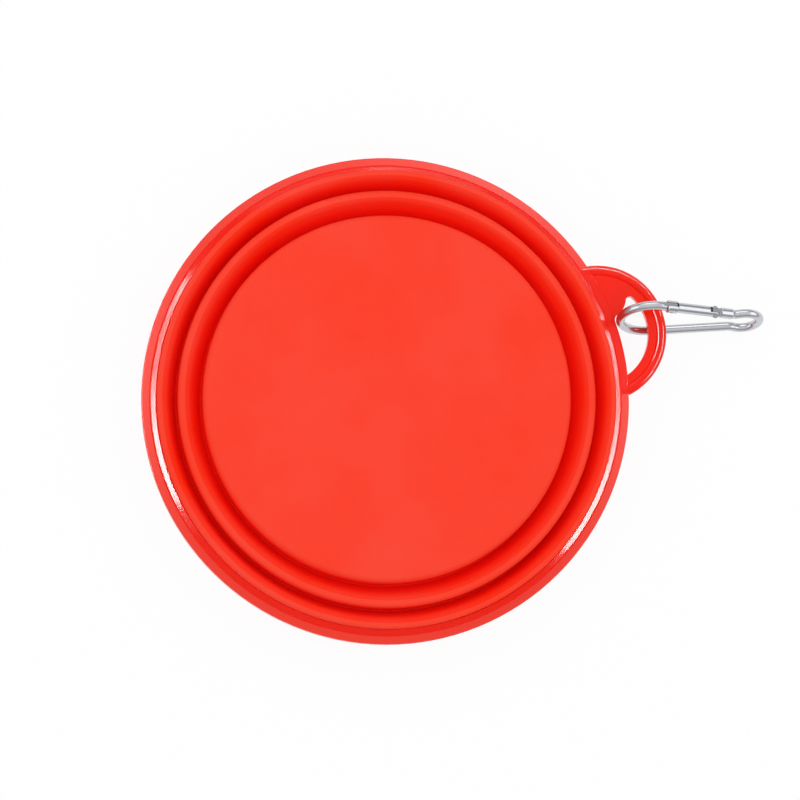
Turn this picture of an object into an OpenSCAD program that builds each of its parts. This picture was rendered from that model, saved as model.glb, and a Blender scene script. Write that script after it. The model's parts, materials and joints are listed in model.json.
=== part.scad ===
// Collapsible bowl lying collapsed on its rim, with a hanging tab and a snap clip.
// The origin is on the bowl's axis in the plane the rim rests on. +Z points out of the base's
// underside, and +X points from the axis through the middle of the tab. Millimetres.

/* [Bowl] */
// Outer diameter over the belt of the rim
rim_d = 130; // [118:1:142]
// Height of the collapsed bowl
folded_h = 13; // [11.5:0.5:15]
// Height of the deep ends of the bands over the rest plane
band_clearance = 3; // [2.6:0.1:3.6]
// Thickness of the base
base_floor = 2; // [1.6:0.1:2.6]
// Radius of the base's outer edge
base_round = 1.4; // [1:0.1:1.6]
// Radius of the corner inside the base
base_fillet = 2; // [1:0.25:3]

/* [Rim] */
// Height of the rim's crest
rim_h = 9; // [8.6:0.2:10.4]
// Radial thickness of the rim's wall
rim_wall = 2; // [1.9:0.1:2.6]
// Fall of the rim's crest towards its outer side, as an angle
crest_tilt = 27; // [20:1:32]
// Radius of the crest's outer edge
crest_round = 0.9; // [0.7:0.05:0.9]
// Radius of the crest's inner edge
seam_round = 0.2; // [0.15:0.05:0.3]
// Radius of both edges of the lip
lip_round = 0.6; // [0.3:0.1:0.8]
// How far the belt stands out of the rim's wall
belt_reach = 2; // [1.5:0.1:2.5]
// Height of the belt
belt_h = 4; // [3:0.25:4.5]
// Height of the belt's middle over the rest plane
belt_mid = 6; // [5.5:0.1:6.5]
// Fall of the belt's faces towards its edge, as an angle
belt_tilt = 16; // [12:1:20]
// Radius of the belt's edges
belt_round = 0.3; // [0.2:0.1:0.6]

/* [Silicone wall] */
// Thickness of the collar that is moulded to the rim
collar_wall = 1.3; // [1:0.1:1.6]
// Radius of the collar's outer edge
collar_round = 0.5; // [0.3:0.1:0.8]
// Height of the key that anchors the collar in the rim
key_h = 2.4; // [1.6:0.2:3]
// Depth of that key
key_depth = 0.6; // [0.4:0.1:0.8]
// Gap between the collar and the rest plane
collar_lift = 0.6; // [0.4:0.1:1]
// Thickness of the fold webs
web = 1; // [0.7:0.1:1.2]
// Width of the groove beside each band
groove = 0.5; // [0.4:0.05:0.7]
// Radial width of the outer fold
outer_fold_w = 3.7; // [3.4:0.1:4.4]
// Crest radius of the outer fold
outer_fold_round = 1.5; // [1.3:0.1:2]
// Radial width of the inner fold
inner_fold_w = 4.3; // [3.8:0.1:5]
// Crest radius of the inner fold
inner_fold_round = 1.5; // [1.3:0.1:2]
// Thickness of the middle band
band_wall = 1.8; // [1.4:0.1:2.2]
// Radius of the middle band's crest
band_round = 1; // [0.6:0.1:1.2]
// Thickness of the base's upright wall
base_wall = 1.8; // [1.4:0.1:2.2]

/* [Tab] */
// Radius of the tab's outline
tab_r = 18.4; // [17.6:0.1:19.2]
// Thickness of the tab's plate
tab_t = 2.6; // [2.2:0.1:3]
// Width of the bead along the tab's edge
bead_w = 3; // [2.6:0.1:3.2]
// Land between the belt and the hole
hole_land = 0.1; // [0.1:0.1:0.4]
// Width of the hole along the tab's axis
hole_w = 8.1; // [7.8:0.1:8.5]
// Width of the band outside the hole
tab_band = 4.9; // [4.5:0.1:5.3]
// Radius of the shoulder that stands in the hole beside the clip's rod
shoulder_r = 5.5; // [5:0.1:5.9]
// Turn of the shoulder's middle round the bowl, from the tab's axis
shoulder_turn = 7.5; // [7.2:0.1:7.9]
// Radius of the corner between the belt and the shoulder
nest_r = 1.6; // [1.4:0.1:1.8]
// Distance from the tab's axis to the middle of the hole's rounded end
hole_end_y = 5.6; // [5.2:0.1:5.9]

/* [Clip] */
// Diameter of the clip's rod
rod_d = 2.4; // [2.2:0.1:2.5]
// Centreline radius of the loop
loop_r = 7.9; // [7.7:0.1:8.4]
// Distance from the loop's circle to the middle of the eye, along the clip's axis
eye_at = 17.8; // [17.3:0.1:19.1]
// Centreline radius of the eye
eye_r = 4.4; // [4.1:0.1:4.6]
// Centreline radius of the bends at the waist
waist_r = 3; // [2.4:0.1:3.6]
// Angle between each side and the clip's axis
side_taper = 11; // [10:0.5:12]
// Gap between the loop and the belt, seen from above
clip_gap = 0.2; // [0.2:0.1:0.6]
// Distance from the tab's axis to the middle of the loop
clip_y = -0.3; // [-0.6:0.1:0]
// Angle of the clip's axis from the tab's axis
clip_yaw = -15.4; // [-18:0.1:-12]
// Lean of the clip's plane from upright
clip_lean = 18.6; // [16:0.2:22]

/* [Gate] */
// Diameter of the gate
gate_d = 2.8; // [2.6:0.1:3]
// Diameter of the gate's latch head
head_d = 3.4; // [3.2:0.1:3.6]
// Length of the latch head
head_l = 3.1; // [2.9:0.1:3.4]
// Length of the nose along the gate's side
nose_l = 1; // [0.9:0.1:1.3]
// Gap between the nose and the gate
nose_gap = 0.3; // [0.2:0.05:0.4]
// Distance from the loop's end to the hinge along the gate's side
hinge_at = 15.6; // [15.3:0.1:16]
// Thickness of the hinge tang
tang_t = 1.2; // [1:0.1:1.3]
// Thickness of the nose's tongue
tongue_t = 1; // [0.8:0.1:1.1]
// Diameter of the hinge rivet's shank
rivet_d = 1.1; // [0.9:0.1:1.2]
// Diameter of the hinge rivet's heads
rivet_head_d = 1.7; // [1.5:0.1:1.9]
// Diameter of the latch pin
pin_d = 0.8; // [0.7:0.05:0.9]
// Diameter of the spring's bore
spring_bore_d = 1.4; // [1.3:0.05:1.5]
// Wire diameter of the spring
spring_wire = 0.2; // [0.16:0.02:0.22]
// Turns of the spring
spring_turns = 5.5; // [4.5:0.5:6]

/* [Hidden] */
$fn = 96;

// One overrun for all cuts
over = 1;

// Radii of the bowl's rings, from the belt inwards
rim_out = rim_d / 2 - belt_reach;
rim_in = rim_out - rim_wall;
collar_in = rim_in - collar_wall;
band_out = collar_in - outer_fold_w - groove;
band_in = band_out - band_wall;
base_out = band_in - inner_fold_w - groove;
base_in = base_out - base_wall;

// The tab and its hole, along +X
hole_in = rim_d / 2 + hole_land;
tab_x = hole_in + hole_w + tab_band - tab_r;
hole_r = tab_r - tab_band;
shoulder_at = hole_in * [cos(shoulder_turn), sin(shoulder_turn)];
nest_out = hole_in + nest_r;
nest_turn = shoulder_turn - acos((hole_in * hole_in + nest_out * nest_out - pow(shoulder_r + nest_r, 2))
                                 / (2 * hole_in * nest_out));
nest_at = nest_out * [cos(nest_turn), sin(nest_turn)];
hole_end_out = tab_x + sqrt(hole_r * hole_r - hole_end_y * hole_end_y);
hole_end_in = shoulder_at.x + sqrt(shoulder_r * shoulder_r - pow(shoulder_at.y - hole_end_y, 2));
hole_end_r = (hole_end_out - hole_end_in) / 2;
hole_end_x = (hole_end_out + hole_end_in) / 2;

// The clip lies with its loop and its eye on the rest plane
eye_x = loop_r + eye_at;
clip_pitch = asin((loop_r - eye_r) / eye_x);
clip_x = rim_d / 2 + clip_gap + rod_d / 2 + loop_r * cos(clip_yaw);
clip_z = loop_r * cos(clip_lean) + rod_d / 2;

// Each side ends where the waist's bend touches both the side and the eye
bend_out = loop_r + waist_r;
side_k = bend_out * bend_out - 2 * eye_x * sin(side_taper) * bend_out
         + eye_x * eye_x - pow(eye_r + waist_r, 2);
side_l = eye_x * cos(side_taper) - sqrt(pow(eye_x * cos(side_taper), 2) - side_k);
bend_end = atan2(eye_x * sin(side_taper) - bend_out, eye_x * cos(side_taper) - side_l);
eye_end = bend_end + 180 - side_taper;

// Small clearances and seats of the gate
run_gap = 0.1;
pivot_gap = 0.05;
hinge_room = 0.2;
fork_room = 0.3;
rivet_seat = 0.25;
rivet_head_t = 0.4;
rivet_head_taper = 0.25;
spring_wall = 1.2;
stem_d = 0.5;
stem_l = 1.2;
pusher_l = 2.9;
pusher_edge = 0.2;
nose_root = 0.9;
neck_l = 0.6;

// Straight stretches run this far into the bends, which the drawing thins by a hair
seam = 0.1;
thinning = 0.02;
bend_d = rod_d - thinning;

// Places along the gate's side, from the loop's end
gate_from = nose_l + nose_gap;
head_to = gate_from + head_l;
latch_slot_to = head_to - run_gap;
tongue_to = latch_slot_to - fork_room;
pin_at = (nose_l + tongue_to) / 2;
cam_reach = tang_t;
pusher_tip = hinge_at - cam_reach - pivot_gap;
fork_from = hinge_at - norm([cam_reach, rod_d / 2]) - fork_room;
block_from = hinge_at + gate_d / 2 + hinge_room;
neck_from = side_l + seam - neck_l;
spring_to = pusher_tip - pusher_l;
bore_from = latch_slot_to + spring_wall;

// Sizes across the gate
fork_w = tang_t + 2 * run_gap;
latch_slot_w = tongue_t + 2 * run_gap;
rivet_seat_at = gate_d / 2 - rivet_seat;
notch_d = pin_d + 2 * run_gap;
tongue_top = rod_d / 2;
tongue_under = pin_d / 2;
latch_slot_under = tongue_under + fork_room;
pusher_d = spring_bore_d - 2 * run_gap;
spring_r = spring_bore_d / 2 - run_gap - spring_wire / 2;

// Facets of the spring's wire, around it and along each turn
wire_sides = 8;
turn_rings = 16;

// Colours
bowl_red = [0.97, 0.22, 0.15];
rim_red = [0.95, 0.17, 0.12];
metal = [0.80, 0.81, 0.83];
steel = [0.62, 0.63, 0.66];

// Quadrant of the section plane with its corner at the centre, towards (sx, sy)
module quadrant(size, sx, sy) {
    translate([sx < 0 ? -size : 0, sy < 0 ? -size : 0]) square(size);
}

// Rectangle from one corner to the other
module span(from, to) {
    translate(from) square(to - from);
}

// Section of an upright wall with a round edge at the top, on its outer side
module crested_wall(inner, outer, bottom, top, edge) {
    span([inner, bottom], [outer - edge, top]);
    span([inner, bottom], [outer, top - edge]);
    intersection() {
        span([inner, bottom], [outer, top]);
        translate([outer - edge, top - edge]) circle(edge);
    }
}

// Section of all that lies under one side of a fold web. The side climbs from its bend to its crest.
module under_fold(bend_at, bend, crest_at, crest, lean) {
    across = [cos(lean), sin(lean)];
    inner = bend_at.x - groove / 2 - web;
    difference() {
        intersection() {
            span([inner, 0], [crest_at.x, folded_h]);
            union() {
                translate(crest_at) circle(crest);
                polygon([bend_at, bend_at + across * bend, crest_at - across * crest, crest_at,
                         [crest_at.x, 0], [inner, 0], [inner, bend_at.y]]);
            }
        }
        translate(bend_at) circle(bend);
    }
}

// Section of a fold web. It leaves the band inside it with a U-bend, climbs, and bends over
// to meet the wall outside it at the top.
module fold_section(outer, width, crest) {
    bend_at = [outer - width - groove / 2, band_clearance];
    crest_at = [outer, folded_h - crest];
    apart = crest_at - bend_at;
    lean = atan2(apart.y, apart.x) - acos((groove / 2 + crest) / norm(apart));
    difference() {
        under_fold(bend_at, groove / 2, crest_at, crest, lean);
        under_fold(bend_at, groove / 2 + web, crest_at, crest - web, lean);
    }
}

// Section of the rim's wall. Its crest falls outwards between two round edges.
module rim_wall_section() {
    up = [sin(crest_tilt), cos(crest_tilt)];
    seam_at = [rim_in + seam_round, rim_h - seam_round];
    edge_x = rim_out - crest_round;
    edge_at = [edge_x, seam_at.y + (seam_round - crest_round) / cos(crest_tilt)
                       - (edge_x - seam_at.x) * tan(crest_tilt)];
    intersection() {
        span([rim_in, lip_round], [rim_out, rim_h]);
        union() {
            translate(seam_at) circle(seam_round);
            translate(edge_at) circle(crest_round);
            polygon([[rim_in, lip_round], [rim_out, lip_round], [rim_out, edge_at.y],
                     edge_at + crest_round * up, seam_at + seam_round * up, [rim_in, seam_at.y]]);
        }
    }
}

// Section of the upper half of the belt, over its middle
module belt_half() {
    up = [sin(belt_tilt), cos(belt_tilt)];
    edge_x = rim_d / 2 - belt_round;
    edge_at = [edge_x, belt_h / 2 - (edge_x - rim_out) * tan(belt_tilt) - belt_round / cos(belt_tilt)];
    translate(edge_at) circle(belt_round);
    polygon([[rim_in + key_depth, 0], [rim_d / 2, 0], [rim_d / 2, edge_at.y], edge_at,
             edge_at + belt_round * up, [rim_out, belt_h / 2], [rim_in + key_depth, belt_h / 2]]);
}

module rim_section() {
    difference() {
        rim_wall_section();
        span([rim_in - over, belt_mid - key_h / 2], [rim_in + key_depth, belt_mid + key_h / 2]);
    }
    // Lip with two round edges
    span([rim_in + lip_round, 0], [rim_out - lip_round, lip_round]);
    translate([rim_in + lip_round, lip_round]) circle(lip_round);
    translate([rim_out - lip_round, lip_round]) circle(lip_round);
    // Belt
    for (side = [0, 1]) translate([0, belt_mid]) mirror([0, side]) belt_half();
}

// Outline of the tab's hole. One end is pointed, and the other is round beside a shoulder of the plate.
module hole_outline() {
    difference() {
        intersection() {
            translate([tab_x, 0]) circle(hole_r);
            union() {
                span([hole_in - hole_r, -2 * hole_r], [hole_in + 2 * hole_r, hole_end_y]);
                translate([hole_end_x, hole_end_y]) circle(hole_end_r);
            }
        }
        circle(hole_in);
        translate(shoulder_at) circle(shoulder_r);
        difference() {
            polygon([[0, 0], nest_at, shoulder_at]);
            translate(nest_at) circle(nest_r);
        }
    }
}

module tab() {
    difference() {
        translate([tab_x, 0, belt_mid]) {
            cylinder(h = tab_t, r = tab_r - bead_w / 2, center = true);
            rotate_extrude() translate([tab_r - bead_w / 2, 0]) {
                square([bead_w, belt_h - bead_w], center = true);
                for (side = [-1, 1]) translate([0, side * (belt_h - bead_w) / 2]) circle(bead_w / 2);
            }
        }
        cylinder(h = rim_h, r = rim_out - rim_wall / 4);
        translate([0, 0, belt_mid - belt_h]) linear_extrude(2 * belt_h) hole_outline();
    }
}

module rim_ring() {
    color(rim_red) {
        rotate_extrude() rim_section();
        tab();
    }
}

module wall_collar() {
    color(bowl_red) rotate_extrude() {
        crested_wall(collar_in, rim_in, collar_lift, folded_h, collar_round);
        span([rim_in, belt_mid - key_h / 2], [rim_in + key_depth, belt_mid + key_h / 2]);
    }
}

module outer_fold() {
    color(bowl_red) rotate_extrude() fold_section(collar_in, outer_fold_w, outer_fold_round);
}

module middle_band() {
    color(bowl_red) rotate_extrude() crested_wall(band_in, band_out, band_clearance, folded_h, band_round);
}

module inner_fold() {
    color(bowl_red) rotate_extrude() fold_section(band_in, inner_fold_w, inner_fold_round);
}

module base_cup() {
    ceiling = folded_h - base_floor;
    color(bowl_red) rotate_extrude() {
        crested_wall(base_in, base_out, band_clearance, folded_h, base_round);
        span([0, ceiling], [base_in, folded_h]);
        difference() {
            span([base_in - base_fillet, ceiling - base_fillet], [base_in, ceiling]);
            translate([base_in - base_fillet, ceiling - base_fillet]) circle(base_fillet);
        }
    }
}

// Places the clip, drawn flat with its loop at the centre, its eye along +X and its gate at +Y
module clip_pose() {
    translate([clip_x, clip_y, clip_z]) rotate([0, 0, clip_yaw]) rotate([-clip_lean, 0, 0])
        rotate([90, 0, 0]) rotate([0, 0, -clip_pitch]) children();
}

// Frame of the gate's side: +X runs along it from the loop's end, and +Y points outwards
module gate_side() {
    rotate([0, 0, -side_taper]) translate([0, loop_r, 0]) children();
}

module along_side(from) {
    translate([from, 0, 0]) rotate([0, 90, 0]) children();
}

module rod(from, to) {
    along_side(from) cylinder(h = to - from, d = rod_d);
}

module rod_arc(radius, from, to) {
    rotate([0, 0, from]) rotate_extrude(angle = to - from) translate([radius, 0]) circle(d = bend_d);
}

// Bend from the end of a side to the eye, with a short straight piece where the eye begins
module waist_bend() {
    translate([side_l, waist_r, 0]) {
        rod_arc(waist_r, -90, bend_end);
        rotate([0, 0, bend_end]) translate([waist_r, 0, 0]) rotate([90, 0, 0])
            cylinder(h = 2 * seam, d = rod_d, center = true);
    }
}

// Flat plate in the clip's plane, of thickness t
module plate(t) {
    translate([0, 0, -t / 2]) linear_extrude(t) children();
}

module tongue_outline() {
    difference() {
        span([nose_l - nose_root, -tongue_under], [tongue_to, tongue_top]);
        translate([pin_at, 0]) circle(d = notch_d);
        span([pin_at - notch_d / 2, -tongue_under - over], [pin_at + notch_d / 2, 0]);
    }
}

module hinge_block() {
    difference() {
        union() {
            plate(tang_t) span([hinge_at - cam_reach, -rod_d / 2], [block_from + neck_l, rod_d / 2]);
            along_side(0) rotate_extrude()
                polygon([[0, block_from], [gate_d / 2, block_from], [gate_d / 2, neck_from],
                         [rod_d / 2, neck_from + neck_l], [0, neck_from + neck_l]]);
        }
        translate([hinge_at, 0, -gate_d]) cylinder(h = 2 * gate_d, d = rivet_d + 2 * pivot_gap);
    }
}

module clip_body() {
    color(metal) clip_pose() {
        rod_arc(loop_r, 90 - side_taper, 270 + side_taper);
        mirror([0, 1, 0]) gate_side() {
            rod(-seam, side_l + seam);
            waist_bend();
        }
        translate([eye_x, 0, 0]) rod_arc(eye_r, -eye_end, eye_end);
        gate_side() {
            waist_bend();
            hinge_block();
            rod(-seam, nose_l);
            plate(tongue_t) tongue_outline();
        }
    }
}

// Turned outline of the gate, with a latch head at one end and a ball at the hinge
module gate_profile() {
    step = (head_d - gate_d) / 2;
    polygon([[0, gate_from], [head_d / 2 - step, gate_from], [head_d / 2, gate_from + step],
             [head_d / 2, head_to - step], [gate_d / 2, head_to], [gate_d / 2, hinge_at], [0, hinge_at]]);
    translate([0, hinge_at]) intersection() {
        circle(d = gate_d);
        quadrant(gate_d, 1, 1);
    }
}

module gate() {
    color(metal) clip_pose() gate_side() difference() {
        along_side(0) rotate_extrude() gate_profile();
        // Fork for the hinge tang
        plate(fork_w) span([fork_from, -gate_d], [hinge_at + gate_d, gate_d]);
        // Fork for the nose's tongue, open on the outer side
        plate(latch_slot_w) span([gate_from - over, -latch_slot_under], [latch_slot_to, head_d]);
        // Bores of the spring, the rivet and the latch pin
        along_side(bore_from) cylinder(h = fork_from + over - bore_from, d = spring_bore_d);
        translate([hinge_at, 0, -gate_d]) cylinder(h = 2 * gate_d, d = rivet_d);
        translate([pin_at, 0, -head_d]) cylinder(h = 2 * head_d, d = pin_d);
        // Flat seats of the rivet's heads
        for (side = [0, 1]) mirror([0, 0, side])
            translate([hinge_at, 0, rivet_seat_at]) cylinder(h = gate_d, d = rivet_head_d);
    }
}

module hinge_rivet() {
    color(steel) clip_pose() gate_side() translate([hinge_at, 0, 0]) {
        cylinder(h = 2 * rivet_seat_at, d = rivet_d, center = true);
        for (side = [0, 1]) mirror([0, 0, side]) translate([0, 0, rivet_seat_at])
            cylinder(h = rivet_head_t, d1 = rivet_head_d, d2 = rivet_head_d - 2 * rivet_head_taper);
    }
}

module latch_pin() {
    color(steel) clip_pose() gate_side() translate([pin_at, 0, 0])
        cylinder(h = head_d, d = pin_d, center = true);
}

// One ring of points round the spring's wire, a share of the way along it
function wire_ring(share, length) = [
    for (side = [0 : wire_sides - 1])
        let (turn = 360 * spring_turns * share,
             around = 360 * side / wire_sides,
             out = spring_r + cos(around) * spring_wire / 2)
        [out * cos(turn), out * sin(turn), share * (length - spring_wire)
                                           + (1 + sin(around)) * spring_wire / 2]
];

// Helical spring of the given length that stands on z = 0
module helix(length) {
    rings = spring_turns * turn_rings;
    points = [for (ring = [0 : rings]) each wire_ring(ring / rings, length)];
    last = rings * wire_sides;
    walls = [for (ring = [0 : rings - 1], side = [0 : wire_sides - 1])
        let (next = (side + 1) % wire_sides, low = ring * wire_sides, high = low + wire_sides)
        each [[low + side, low + next, high + side], [low + next, high + next, high + side]]];
    caps = [for (side = [1 : wire_sides - 2])
        each [[0, side + 1, side], [last, last + side, last + side + 1]]];
    polyhedron(points, concat(walls, caps));
}

module gate_spring() {
    color(steel) clip_pose() gate_side() along_side(bore_from) helix(spring_to - bore_from);
}

module spring_pusher() {
    color(steel) clip_pose() gate_side() along_side(spring_to) rotate_extrude() {
        span([0, -stem_l], [stem_d / 2, 0]);
        polygon([[0, 0], [pusher_d / 2, 0], [pusher_d / 2, pusher_l - pusher_edge],
                 [pusher_d / 2 - pusher_edge, pusher_l], [0, pusher_l]]);
    }
}

rim_ring();
wall_collar();
outer_fold();
middle_band();
inner_fold();
base_cup();
clip_body();
gate();
hinge_rivet();
latch_pin();
gate_spring();
spring_pusher();
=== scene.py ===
"""Dresses the collapsed travel bowl: silicone folds, a glossy rim with a hanging tab, and a snap clip."""

import json
import math

import bmesh
import bpy
from bpy.props import FloatProperty, FloatVectorProperty, IntProperty, PointerProperty
from mathutils import Matrix, Vector


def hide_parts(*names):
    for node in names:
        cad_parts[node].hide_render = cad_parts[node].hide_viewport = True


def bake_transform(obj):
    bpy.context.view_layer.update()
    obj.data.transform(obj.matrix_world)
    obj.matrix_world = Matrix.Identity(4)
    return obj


bl_info = {
    "name": "Collapsible Travel Bowl",
    "version": (1, 0, 0),
    "blender": (4, 5, 0),
    "location": "View3D > Sidebar > Travel Bowl",
    "description": "Dresses a collapsible silicone bowl with its folds, glossy rim and snap clip",
    "category": "Object",
}

MM = 0.001
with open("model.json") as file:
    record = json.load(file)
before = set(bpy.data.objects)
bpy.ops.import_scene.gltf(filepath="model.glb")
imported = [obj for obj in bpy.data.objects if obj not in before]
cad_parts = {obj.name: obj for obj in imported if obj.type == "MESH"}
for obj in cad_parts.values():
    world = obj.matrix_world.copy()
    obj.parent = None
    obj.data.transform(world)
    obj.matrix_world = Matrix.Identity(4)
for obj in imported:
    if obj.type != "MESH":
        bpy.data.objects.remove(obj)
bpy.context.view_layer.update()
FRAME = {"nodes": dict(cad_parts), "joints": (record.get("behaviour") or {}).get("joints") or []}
NODES = FRAME["nodes"]
JOINTS = {joint["name"]: joint for joint in FRAME["joints"]}
PICTURE_PX = 800
SENSOR_MM = 36.0
SHARP_ANGLE = math.radians(40)


def linear(hex_colour):
    """Linear RGB of an sRGB hex colour."""
    parts = [int(hex_colour[i : i + 2], 16) / 255 for i in (1, 3, 5)]
    return tuple(p / 12.92 if p <= 0.04045 else ((p + 0.055) / 1.055) ** 2.4 for p in parts)


def colour_property(name, description, hex_colour):
    """A colour that a user can change, from its sRGB hex value."""
    return FloatVectorProperty(
        name=name, description=description, subtype="COLOR", size=3, min=0, max=1, default=linear(hex_colour)
    )


def length_property(name, description, millimetres):
    """A length that a user can change, given in millimetres."""
    return FloatProperty(
        name=name, description=description, unit="LENGTH", min=0, precision=5, default=millimetres * MM
    )


class BowlLooks(bpy.types.PropertyGroup):
    """Sizes and colours of the bowl"""

    silicone: colour_property("Silicone", "Pigment of the bands and the base, which are blasted", "#FC3F28")
    # The folds' deeper pigment is painted shade, for the shade on their sloping sides
    fold: colour_property("Folds", "Pigment of the folds, which are smooth", "#FC2E17")
    rim: colour_property("Rim", "Pigment of the glossy rim", "#F92009")
    # Paler belt pigment: a painted sheen, for the light that the belt's sloping top catches
    satin_belt_sheen: colour_property("Belt", "Pigment of the rim's satin belt, which looks paler", "#F83E2E")
    belt_inner: length_property("Belt from", "Inner radius of the satin belt", 62.95)
    belt_outer: length_property("Belt to", "Outer radius of the satin belt", 65.02)
    tab_at: length_property("Tab middle", "Distance from the bowl's axis to the middle of the tab", 59.7)
    tab_radius: length_property("Tab radius", "Radius of the tab, which the belt doesn't cross", 17.6)
    web: length_property("Web", "Thickness of the fold webs", 1.0)
    groove: length_property("Groove", "Width of the groove beside each band", 0.5)
    outer_crest: length_property("Outer crest", "Crest radius of the outer fold", 1.5)
    inner_crest: length_property("Inner crest", "Crest radius of the inner fold", 1.5)
    segments: IntProperty(name="Segments", description="Facets round each fold", min=48, max=512, default=256)


class ClipLooks(bpy.types.PropertyGroup):
    """Sizes and colours of the snap clip"""

    aluminium: colour_property("Aluminium", "Colour of the polished aluminium", "#C9CACE")
    steel: colour_property("Steel", "Colour of the rivet, the pin and the spring", "#9A9CA0")
    coil_near: length_property("Coil start", "Distance from the hinge to the spring's near end", 4.15)
    coil_far: length_property("Coil end", "Distance from the hinge to the spring's far end", 10.1)
    coil_radius: length_property("Coil radius", "Centreline radius of the spring", 0.5)
    wire: length_property("Wire", "Wire diameter of the spring", 0.2)
    turns: FloatProperty(name="Turns", description="Turns of the spring", min=1, max=20, default=5.5)


class StageLooks(bpy.types.PropertyGroup):
    """Camera, floor and light"""

    distance: length_property("Camera distance", "From the camera to the bowl", 1500)
    roll: FloatProperty(
        name="Roll",
        description="Turn of the tab from the picture's right",
        subtype="ANGLE",
        default=math.radians(17.9),
    )
    floor: colour_property("Floor", "Colour of the floor", "#F7F7F7")
    horizon: colour_property("Horizon", "Light from the sides of the room", "#9EA0A3")
    zenith: colour_property("Zenith", "Light from above", "#FAFAFA")


def add_node(tree, kind, values=None, links=None, **settings):
    """Adds a node with its settings, its socket values and the sockets that feed it."""
    node = tree.nodes.new(kind)
    for name, value in settings.items():
        setattr(node, name, value)
    for socket, value in (values or {}).items():
        node.inputs[socket].default_value = value
    for socket, source in (links or {}).items():
        tree.links.new(source, node.inputs[socket])
    return node


def new_material(name):
    """An empty node material and its tree."""
    material = bpy.data.materials.new(name)
    material.use_nodes = True
    material.node_tree.nodes.clear()
    return material, material.node_tree


def rgba(colour):
    """The colour with full opacity."""
    return (*colour, 1.0)


def per_metre(millimetres):
    """Texture scale that gives one feature every so many millimetres."""
    return 1.0 / (millimetres * MM)


def moulded_silicone(name, pigment_and_painted_light, gloss):
    """Compression-moulded silicone rubber: matte, and so saturated that its grooves glow red."""
    # The mould's blasted grain is about 0.1 mm, drawn at 0.5 mm so that it shows
    cloud_mm, grain_mm, grain_depth_mm = 22, 0.5, 0.03
    material, tree = new_material(name)
    place = add_node(tree, "ShaderNodeTexCoord").outputs["Object"]
    cloud = add_node(
        tree, "ShaderNodeTexNoise", {"Scale": per_metre(cloud_mm), "Detail": 3.0}, {"Vector": place}
    )
    shade = add_node(
        tree,
        "ShaderNodeMapRange",
        {"To Min": 0.98, "To Max": 1.02},
        {"Value": cloud.outputs["Fac"]},
    )
    colour = add_node(
        tree,
        "ShaderNodeHueSaturation",
        {"Color": rgba(pigment_and_painted_light)},
        {"Saturation": shade.outputs["Result"]},
    )
    grain = add_node(
        tree, "ShaderNodeTexNoise", {"Scale": per_metre(grain_mm), "Detail": 2.0}, {"Vector": place}
    )
    sheen = add_node(
        tree,
        "ShaderNodeMapRange",
        {"To Min": 0.62, "To Max": 0.76},
        {"Value": grain.outputs["Fac"]},
    )
    bump = add_node(
        tree,
        "ShaderNodeBump",
        {"Strength": 0.12, "Distance": grain_depth_mm * MM},
        {"Height": grain.outputs["Fac"]},
    )
    shader = add_node(
        tree,
        "ShaderNodeBsdfPrincipled",
        {"IOR": 1.41, "Specular IOR Level": gloss},
        {
            "Base Color": colour.outputs["Color"],
            "Roughness": sheen.outputs["Result"],
            "Normal": bump.outputs["Normal"],
        },
    )
    add_node(tree, "ShaderNodeOutputMaterial", links={"Surface": shader.outputs["BSDF"]})
    return material


def polished_rim(looks):
    """Injection-moulded plastic: saturated pigment under a hard gloss, with a satin belt that gets a paler
    pigment as a painted sheen, left off at the tab.
    """
    ripple_mm, ripple_depth_mm = 6, 0.05
    satin = 0.2
    material, tree = new_material("polished_rim_plastic")
    place = add_node(tree, "ShaderNodeTexCoord").outputs["Object"]
    flat = add_node(
        tree, "ShaderNodeVectorMath", {1: (1.0, 1.0, 0.0)}, {0: place}, operation="MULTIPLY"
    ).outputs["Vector"]
    radius = add_node(tree, "ShaderNodeVectorMath", links={0: flat}, operation="LENGTH")
    ring = add_node(
        tree,
        "ShaderNodeMath",
        {1: (looks.belt_inner + looks.belt_outer) / 2, 2: (looks.belt_outer - looks.belt_inner) / 2},
        {0: radius.outputs["Value"]},
        operation="COMPARE",
    )
    reach = add_node(
        tree, "ShaderNodeVectorMath", {1: (looks.tab_at, 0.0, 0.0)}, {0: flat}, operation="DISTANCE"
    )
    past_tab = add_node(
        tree,
        "ShaderNodeMath",
        {1: looks.tab_radius},
        {0: reach.outputs["Value"]},
        operation="GREATER_THAN",
    )
    # The belt outside the tab: satin haze, and the painted sheen of the paler pigment
    satin_belt_sheen = add_node(
        tree,
        "ShaderNodeMath",
        links={0: ring.outputs["Value"], 1: past_tab.outputs["Value"]},
        operation="MULTIPLY",
    ).outputs["Value"]
    # Rim pigment, with the paler belt pigment mixed in as a painted sheen
    pigment_and_painted_light = add_node(
        tree,
        "ShaderNodeMix",
        {"A": rgba(looks.rim), "B": rgba(looks.satin_belt_sheen)},
        {"Factor": satin_belt_sheen},
        data_type="RGBA",
    )
    ripple = add_node(
        tree, "ShaderNodeTexNoise", {"Scale": per_metre(ripple_mm), "Detail": 1.0}, {"Vector": place}
    )
    polish = add_node(
        tree,
        "ShaderNodeMapRange",
        {"To Min": 0.08, "To Max": 0.16},
        {"Value": ripple.outputs["Fac"]},
    )
    haze = add_node(tree, "ShaderNodeMix", {"B": satin}, {"Factor": satin_belt_sheen, "A": polish.outputs["Result"]})
    bump = add_node(
        tree,
        "ShaderNodeBump",
        {"Strength": 0.05, "Distance": ripple_depth_mm * MM},
        {"Height": ripple.outputs["Fac"]},
    )
    shader = add_node(
        tree,
        "ShaderNodeBsdfPrincipled",
        {"IOR": 1.43, "Specular IOR Level": 0.25},
        {
            "Base Color": pigment_and_painted_light.outputs["Result"],
            "Roughness": haze.outputs["Result"],
            "Normal": bump.outputs["Normal"],
        },
    )
    add_node(tree, "ShaderNodeOutputMaterial", links={"Surface": shader.outputs["BSDF"]})
    return material


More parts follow.
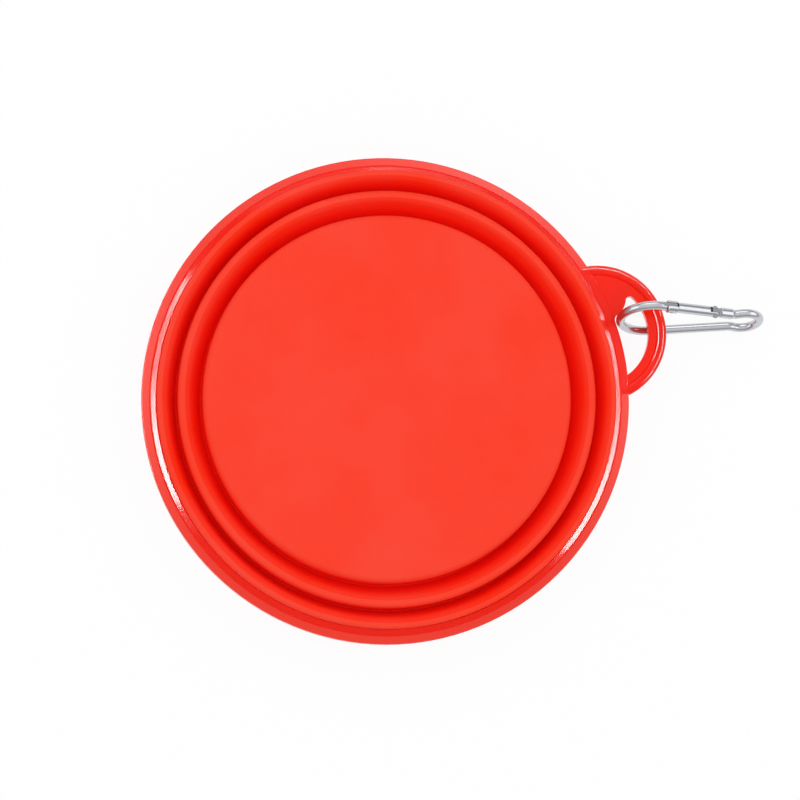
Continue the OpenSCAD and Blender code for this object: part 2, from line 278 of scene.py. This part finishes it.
def drawn_metal(name, colour, smooth, rough, scratch_mm):
    """Drawn and tumbled metal: bright, with fine scratches that blur the reflections unevenly."""
    # Tumbling leaves scratches finer than 0.1 mm, drawn coarser so that they show
    scratch_depth_mm = 0.02
    material, tree = new_material(name)
    place = add_node(tree, "ShaderNodeTexCoord").outputs["Object"]
    scratch = add_node(
        tree, "ShaderNodeTexNoise", {"Scale": per_metre(scratch_mm), "Detail": 4.0}, {"Vector": place}
    )
    haze = add_node(
        tree,
        "ShaderNodeMapRange",
        {"To Min": smooth, "To Max": rough},
        {"Value": scratch.outputs["Fac"]},
    )
    bump = add_node(
        tree,
        "ShaderNodeBump",
        {"Strength": 0.06, "Distance": scratch_depth_mm * MM},
        {"Height": scratch.outputs["Fac"]},
    )
    shader = add_node(
        tree,
        "ShaderNodeBsdfPrincipled",
        {"Base Color": rgba(colour), "Metallic": 1.0},
        {"Roughness": haze.outputs["Result"], "Normal": bump.outputs["Normal"]},
    )
    add_node(tree, "ShaderNodeOutputMaterial", links={"Surface": shader.outputs["BSDF"]})
    return material


def dress(node, material):
    """Gives a solid its finish."""
    slots = NODES[node].data.materials
    slots.clear()
    slots.append(material)


def new_piece(name, points, faces, material):
    """A mesh object in the scene, smooth but for its sharp edges."""
    mesh = bpy.data.meshes.new(name)
    mesh.from_pydata(points, [], faces)
    mesh.validate()
    mesh.polygons.foreach_set("use_smooth", [True] * len(mesh.polygons))
    mesh.set_sharp_from_angle(angle=SHARP_ANGLE)
    mesh.materials.append(material)
    piece = bpy.data.objects.new(name, mesh)
    bpy.context.scene.collection.objects.link(piece)
    return piece


def arc(centre, radius, first, last, steps):
    """Points of an arc in the section plane, with angles in degrees."""
    angles = [math.radians(first + (last - first) * i / steps) for i in range(steps + 1)]
    return [(centre[0] + radius * math.cos(a), centre[1] + radius * math.sin(a)) for a in angles]


def line(start, end, steps):
    """Points between two corners of a section, both left out."""
    return [
        tuple(start[k] + (end[k] - start[k]) * i / steps for k in (0, 1)) for i in range(1, steps)
    ]


def turned(section, segments):
    """Points and faces of a closed section turned round the bowl's axis."""
    count = len(section)
    points = []
    for i in range(segments):
        a = 2 * math.pi * i / segments
        points += [(r * math.cos(a), r * math.sin(a), z) for r, z in section]
    faces = []
    for i in range(segments):
        here, there = i * count, (i + 1) % segments * count
        for j in range(count):
            k = (j + 1) % count
            faces.append((here + j, there + j, there + k, here + k))
    return points, faces


def fold_section(node, crest, web, groove):
    """Section of a fold web, over the crest, down to the bend at the band and back, and its two heights."""
    bend_steps, climb_steps = 12, 16
    bend_radius = groove / 2
    corners = [v.co for v in NODES[node].data.vertices]
    radii = [math.hypot(c.x, c.y) for c in corners]
    heights = [c.z for c in corners]
    top = max(heights)
    bend = (min(radii) + web + bend_radius, min(heights) + web + bend_radius)
    crown = (max(radii), top - crest)
    apart = (crown[0] - bend[0], crown[1] - bend[1])
    # The climb touches the bend on one side and the crest on the other
    lean = math.atan2(apart[1], apart[0]) - math.acos((bend_radius + crest) / math.hypot(*apart))
    lean = math.degrees(lean)
    skin = arc(crown, crest, 90, 180 + lean, bend_steps)
    foot = arc(bend, bend_radius, lean, -180, bend_steps)
    skin += line(skin[-1], foot[0], climb_steps) + foot
    lining = arc(bend, bend_radius + web, -180, lean, bend_steps)
    brow = arc(crown, crest - web, 180 + lean, 90, bend_steps)
    lining += line(lining[-1], brow[0], climb_steps) + brow
    return skin + lining, top, bend[1]


class BOWL_OT_stage(bpy.types.Operator):
    """Makes the floor, the light and the camera"""

    bl_idname = "travel_bowl.stage"
    bl_label = "Stage"

    def execute(self, context):
        looks = context.scene.bowl_stage
        right = Vector((math.cos(looks.roll), -math.sin(looks.roll), 0))
        up = Vector((math.sin(looks.roll), math.cos(looks.roll), 0))
        context.scene.view_settings.view_transform = "Standard"
        # Light bounces many times between the red walls of a groove
        context.scene.cycles.diffuse_bounces = 12
        self.floor(looks)
        self.room(context.scene, looks)
        self.lights(right, up)
        self.camera(context.scene, looks, right, up)
        return {"FINISHED"}

    def floor(self, looks):
        """A wide pale floor that keeps the bowl's shadow and looks white to the eye and in the metal."""
        half, thick = 4.0, 0.02
        whiteness = 0.93
        mesh = bpy.data.meshes.new("floor")
        shape = bmesh.new()
        bmesh.ops.create_cube(shape, size=1.0)
        bmesh.ops.scale(shape, vec=(2 * half, 2 * half, thick), verts=shape.verts)
        bmesh.ops.translate(shape, vec=(0, 0, -thick / 2), verts=shape.verts)
        shape.to_mesh(mesh)
        shape.free()
        floor = bpy.data.objects.new("floor", mesh)
        bpy.context.scene.collection.objects.link(floor)
        material, tree = new_material("white_paper_floor")
        path = add_node(tree, "ShaderNodeLightPath").outputs
        seen = path["Is Camera Ray"]
        for ray in ("Is Glossy Ray", "Is Transmission Ray"):
            either = add_node(tree, "ShaderNodeMath", links={0: seen, 1: path[ray]}, operation="MAXIMUM")
            seen = either.outputs["Value"]
        share = add_node(tree, "ShaderNodeMath", {1: whiteness}, {0: seen}, operation="MULTIPLY")
        paper = add_node(tree, "ShaderNodeBsdfDiffuse", {"Color": rgba(looks.floor)})
        white = add_node(tree, "ShaderNodeEmission", {"Strength": 1.0})
        mix = add_node(
            tree,
            "ShaderNodeMixShader",
            links={0: share.outputs["Value"], 1: paper.outputs["BSDF"], 2: white.outputs["Emission"]},
        )
        add_node(tree, "ShaderNodeOutputMaterial", links={"Surface": mix.outputs["Shader"]})
        mesh.materials.append(material)

    def room(self, scene, looks):
        """A light tent, brighter above than at the sides."""
        steepness = 2.0
        world = bpy.data.worlds.new("light_tent")
        world.use_nodes = True
        tree = world.node_tree
        tree.nodes.clear()
        place = add_node(tree, "ShaderNodeTexCoord").outputs["Generated"]
        height = add_node(tree, "ShaderNodeSeparateXYZ", links={0: place}).outputs["Z"]
        glow = add_node(
            tree, "ShaderNodeMath", {1: steepness}, {0: height}, operation="POWER", use_clamp=True
        )
        light = add_node(
            tree,
            "ShaderNodeMix",
            {"A": rgba(looks.horizon), "B": rgba(looks.zenith)},
            {"Factor": glow.outputs["Value"]},
            data_type="RGBA",
        )
        tent = add_node(tree, "ShaderNodeBackground", links={"Color": light.outputs["Result"]})
        add_node(tree, "ShaderNodeOutputWorld", links={"Surface": tent.outputs["Background"]})
        scene.world = world

    def lights(self, right, up):
        """A softbox on each side, and three bright strips that only the rim's gloss shows."""
        reach = 0.7
        rim = bpy.data.collections.new("rim_gloss")
        rim.objects.link(NODES["rim_ring"])
        # In degrees, azimuth turns from the picture's right and zenith leans from straight above
        for name, azimuth, zenith, size, radiance, diffuse, glossy in (
            ("left_box", 180, 52, (0.40, 0.65), 1.1, True, True),
            ("right_box", 0, 58, (0.40, 0.65), 1.1, True, True),
            ("back_box", 90, 50, (0.40, 0.65), 1.2, True, True),
            ("front_box", 270, 50, (0.40, 0.65), 0.7, True, False),
            ("left_strip", 171, 48.9, (0.14, 0.65), 60, False, True),
            ("right_strip", -2, 56.4, (0.14, 0.65), 48, False, True),
            ("tab_strip", 60, 55.7, (0.07, 0.65), 80, False, True),
        ):
            turn, tilt = math.radians(azimuth), math.radians(zenith)
            side = right * math.cos(turn) + up * math.sin(turn)
            back = side * math.sin(tilt) + Vector((0, 0, math.cos(tilt)))
            lamp = bpy.data.lights.new(name, "AREA")
            lamp.shape = "RECTANGLE"
            lamp.size, lamp.size_y = size
            # A flat lamp's power is its radiance times pi and its area
            lamp.energy = radiance * math.pi * size[0] * size[1]
            box = bpy.data.objects.new(name, lamp)
            flat = Vector((0, 0, 1)).cross(back).normalized()
            box.matrix_world = Matrix((back.cross(flat), flat, back)).transposed().to_4x4()
            box.matrix_world.translation = back * reach
            box.visible_diffuse = diffuse
            box.visible_glossy = glossy
            if not diffuse:
                box.light_linking.receiver_collection = rim
            bpy.context.scene.collection.objects.link(box)

    def camera(self, scene, looks, right, up):
        """Looks down from a little below and left of the bowl's axis, at a point between bowl and clip."""
        # Focal length in the picture's pixels, slopes from the bowl's axis, and the point in the middle
        lens_px = 5638.0
        lean_right, lean_up = 0.08, 0.105
        aim_right, aim_up, belt_z = 3.84 * MM, 0.22 * MM, 6 * MM
        data = bpy.data.cameras.new("camera")
        data.sensor_width = SENSOR_MM
        data.lens = lens_px * SENSOR_MM / PICTURE_PX
        camera = bpy.data.objects.new("camera", data)
        away = (Vector((0, 0, 1)) - right * lean_right - up * lean_up).normalized()
        across = up.cross(away).normalized()
        camera.matrix_world = Matrix((across, away.cross(across), away)).transposed().to_4x4()
        aim = right * aim_right + up * aim_up + Vector((0, 0, belt_z))
        camera.matrix_world.translation = aim + away * looks.distance
        scene.collection.objects.link(camera)
        scene.camera = camera


class BOWL_OT_silicone(bpy.types.Operator):
    """Finishes the collar, the middle band and the base, and makes the two folds between them"""

    bl_idname = "travel_bowl.silicone"
    bl_label = "Silicone"

    def execute(self, context):
        looks = context.scene.bowl_looks
        blasted = moulded_silicone("blasted_silicone", looks.silicone, gloss=0.3)
        # The folds' material paints shade with its deeper pigment
        smooth = moulded_silicone("smooth_silicone_painted_shade", looks.fold, gloss=0.2)
        for node in ("wall_collar", "middle_band", "base_cup"):
            dress(node, blasted)
        for name, node, crest, held, moved in (
            ("outer_fold_skin", "outer_fold", looks.outer_crest, "rim", "middle"),
            ("inner_fold_skin", "inner_fold", looks.inner_crest, "middle", "base"),
        ):
            section, top, deep = fold_section(node, crest, looks.web, looks.groove)
            fold = new_piece(name, *turned(section, looks.segments), smooth)
            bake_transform(fold)
            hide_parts(node)
        return {"FINISHED"}


class BOWL_OT_rim(bpy.types.Operator):
    """Finishes the rim with its hanging tab"""

    bl_idname = "travel_bowl.rim"
    bl_label = "Rim"

    def execute(self, context):
        dress("rim_ring", polished_rim(context.scene.bowl_looks))
        return {"FINISHED"}


class BOWL_OT_clip(bpy.types.Operator):
    """Finishes the clip's body, its gate, the rivet, the pin and the pusher"""

    bl_idname = "travel_bowl.clip"
    bl_label = "Clip"

    def execute(self, context):
        looks = context.scene.bowl_clip
        aluminium = drawn_metal(
            "polished_aluminium", looks.aluminium, smooth=0.18, rough=0.28, scratch_mm=0.6
        )
        steel = drawn_metal("drawn_steel", looks.steel, smooth=0.25, rough=0.4, scratch_mm=0.4)
        for node in ("clip_body", "gate"):
            dress(node, aluminium)
        for node in ("hinge_rivet", "latch_pin", "spring_pusher"):
            dress(node, steel)
        return {"FINISHED"}


class BOWL_OT_spring(bpy.types.Operator):
    """Makes the gate's spring, which the pusher squeezes as the gate opens"""

    bl_idname = "travel_bowl.spring"
    bl_label = "Gate spring"

    def execute(self, context):
        looks = context.scene.bowl_clip
        hinge = Vector(JOINTS["gate_hinge"]["pos_m"])
        inwards = Vector(JOINTS["pusher_slide"]["axis"]).normalized()
        side = Vector(JOINTS["gate_hinge"]["axis"]).normalized()
        other = inwards.cross(side)
        per_turn, sides = 20, 8
        rings = int(looks.turns * per_turn)
        half = looks.wire / 2
        points, faces = [], []
        for i in range(rings + 1):
            share = i / rings
            turn = 2 * math.pi * looks.turns * share
            out = side * math.cos(turn) + other * math.sin(turn)
            along = looks.coil_near + half + (looks.coil_far - looks.coil_near - looks.wire) * share
            centre = hinge + inwards * along + out * looks.coil_radius
            for j in range(sides):
                around = 2 * math.pi * j / sides
                points.append(centre + (out * math.cos(around) + inwards * math.sin(around)) * half)
            if i:
                for j in range(sides):
                    a, b = (i - 1) * sides + j, (i - 1) * sides + (j + 1) % sides
                    faces.append((a, a + sides, b + sides, b))
        faces.append(tuple(range(sides)))
        faces.append(tuple(reversed(range(rings * sides, (rings + 1) * sides))))
        coil = new_piece("gate_coil", points, faces, bpy.data.materials["drawn_steel"])
        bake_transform(coil)
        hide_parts("gate_spring")
        return {"FINISHED"}


class BOWL_PT_panel(bpy.types.Panel):
    """Lists the bowl's pieces and their sizes and colours"""

    bl_idname = "BOWL_PT_panel"
    bl_label = "Travel Bowl"
    bl_space_type = "VIEW_3D"
    bl_region_type = "UI"
    bl_category = "Travel Bowl"

    def draw(self, context):
        layout = self.layout
        for step in STEPS:
            layout.operator(step.bl_idname)
        for group in GROUPS:
            box = layout.box()
            for name in GROUPS[group].__annotations__:
                box.prop(getattr(context.scene, group), name)


GROUPS = {"bowl_looks": BowlLooks, "bowl_clip": ClipLooks, "bowl_stage": StageLooks}
STEPS = (BOWL_OT_stage, BOWL_OT_silicone, BOWL_OT_rim, BOWL_OT_clip, BOWL_OT_spring)


def register():
    for made in (*GROUPS.values(), *STEPS, BOWL_PT_panel):
        bpy.utils.register_class(made)
    for name, made in GROUPS.items():
        setattr(bpy.types.Scene, name, PointerProperty(type=made))


def unregister():
    for name in GROUPS:
        delattr(bpy.types.Scene, name)
    for made in (BOWL_PT_panel, *reversed(STEPS), *reversed(GROUPS.values())):
        bpy.utils.unregister_class(made)


def main():
    register()
    for step in ("stage", "silicone", "rim", "clip", "spring"):
        getattr(bpy.ops.travel_bowl, step)()


if __name__ == "__main__":
    main()
